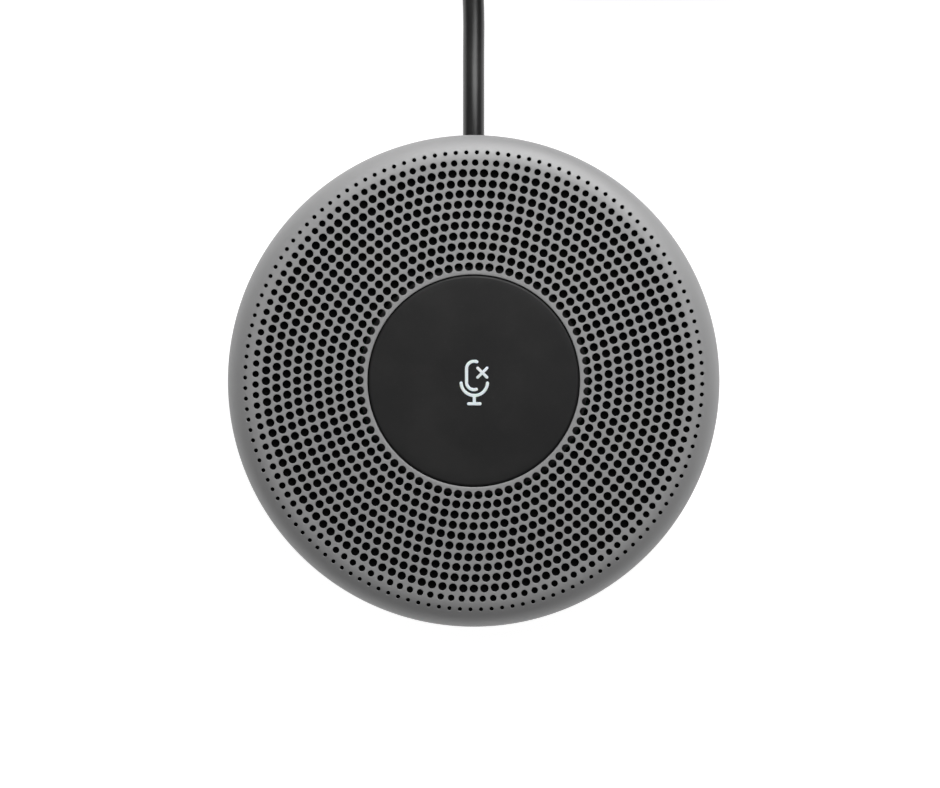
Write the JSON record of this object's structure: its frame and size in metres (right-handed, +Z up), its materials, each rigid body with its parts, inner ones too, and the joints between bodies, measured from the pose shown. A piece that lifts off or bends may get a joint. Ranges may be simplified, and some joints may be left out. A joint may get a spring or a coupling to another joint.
{
  "type": "conference table microphone pod",
  "caption": "Low round table microphone pod with a perforated grey grille, a round mute key in its middle, a rubber foot and a long captive lead that ends in a plug.",
  "frame": {"origin": "centre of the rubber foot's underside, on the surface that the pod stands on", "axes": "+Z up along the pod's axis, through the mute key; +Y towards the side where the lead leaves; +X to the right when the mute key's mark reads upright"},
  "size_m": [0.1128, 0.186, 0.021],
  "materials": {
    "grille_paint": "satin grey paint on a perforated shell",
    "key_plastic": "fine satin charcoal",
    "light_guide": "clear frosted moulding",
    "housing_plastic": "fine spark-eroded texture, dark grey",
    "frame_plastic": "plain black moulding",
    "foot_rubber": "matt, slightly dusty",
    "seal_rubber": "matt",
    "silicone": "translucent silicone",
    "cloth": "fine black acoustic cloth",
    "ballast_steel": "punched steel",
    "screw_steel": "plated steel",
    "capsule_metal": "drawn can",
    "board_laminate": "solder resist over glass laminate",
    "chip_epoxy": "moulded epoxy",
    "led_lens": "clear lens",
    "connector_nylon": "natural nylon",
    "core_red": "wire insulation",
    "core_white": "wire insulation",
    "core_green": "wire insulation",
    "core_black": "wire insulation",
    "cable_jacket": "smooth jacket with a soft sheen",
    "tie_fabric": "woven hook-and-loop strap",
    "plug_moulding": "soft moulding",
    "plug_metal": "nickel plate",
    "plug_insulator": "white insulator"
  },
  "bodies": {
    "base": {"foot_pad": "foot_rubber", "bottom_housing": "housing_plastic", "ballast_plate": "ballast_steel", "main_board": "board_laminate", "inner_frame": "frame_plastic", "top_grille": "grille_paint", "acoustic_cloth": "cloth", "return_ring": "silicone", "switch_body": "chip_epoxy", "mic_gasket_1": "seal_rubber", "mic_gasket_2": "seal_rubber", "mic_gasket_3": "seal_rubber", "mic_gasket_4": "seal_rubber", "mic_capsule_1": "capsule_metal", "mic_capsule_2": "capsule_metal", "mic_capsule_3": "capsule_metal", "mic_capsule_4": "capsule_metal", "status_led_1": "led_lens", "status_led_2": "led_lens", "status_led_3": "led_lens", "status_led_4": "led_lens", "audio_processor": "chip_epoxy", "codec_chip": "chip_epoxy", "cable_socket": "connector_nylon", "cable_header": "connector_nylon", "lead_red": "core_red", "lead_white": "core_white", "lead_green": "core_green", "lead_black": "core_black", "cable_grommet": "seal_rubber", "cable_clamp": "housing_plastic", "clamp_screw_1": "screw_steel", "clamp_screw_2": "screw_steel", "case_screw_1": "screw_steel", "case_screw_2": "screw_steel", "case_screw_3": "screw_steel", "case_screw_4": "screw_steel", "board_screw_1": "screw_steel", "board_screw_2": "screw_steel", "board_screw_3": "screw_steel", "board_screw_4": "screw_steel", "cable": "cable_jacket", "cable_coil": "cable_jacket", "coil_tie_1": "tie_fabric", "coil_tie_2": "tie_fabric", "cable_tail": "cable_jacket", "plug_grip": "plug_moulding", "plug_shell": "plug_metal", "plug_tongue": "plug_insulator"},
    "mute_button": {"button_cap": "key_plastic", "light_guide": "light_guide"},
    "switch_plunger": {"switch_plunger": "connector_nylon"}
  },
  "joints": [
    {"name": "mute_press", "type": "slide", "parent": "base", "child": "mute_button", "axis": [0, 0, -1], "range_m": [0, 0.0005], "stiffness_N_per_m": 2400, "springref_m": -0.0002, "deforming": ["return_ring"]},
    {"name": "plunger_press", "type": "slide", "parent": "base", "child": "switch_plunger", "axis": [0, 0, -1], "range_m": [0, 0.0006]}
  ],
  "couplings": [
    {"joint": "plunger_press", "follows": "mute_press", "ratio": 1}
  ]
}
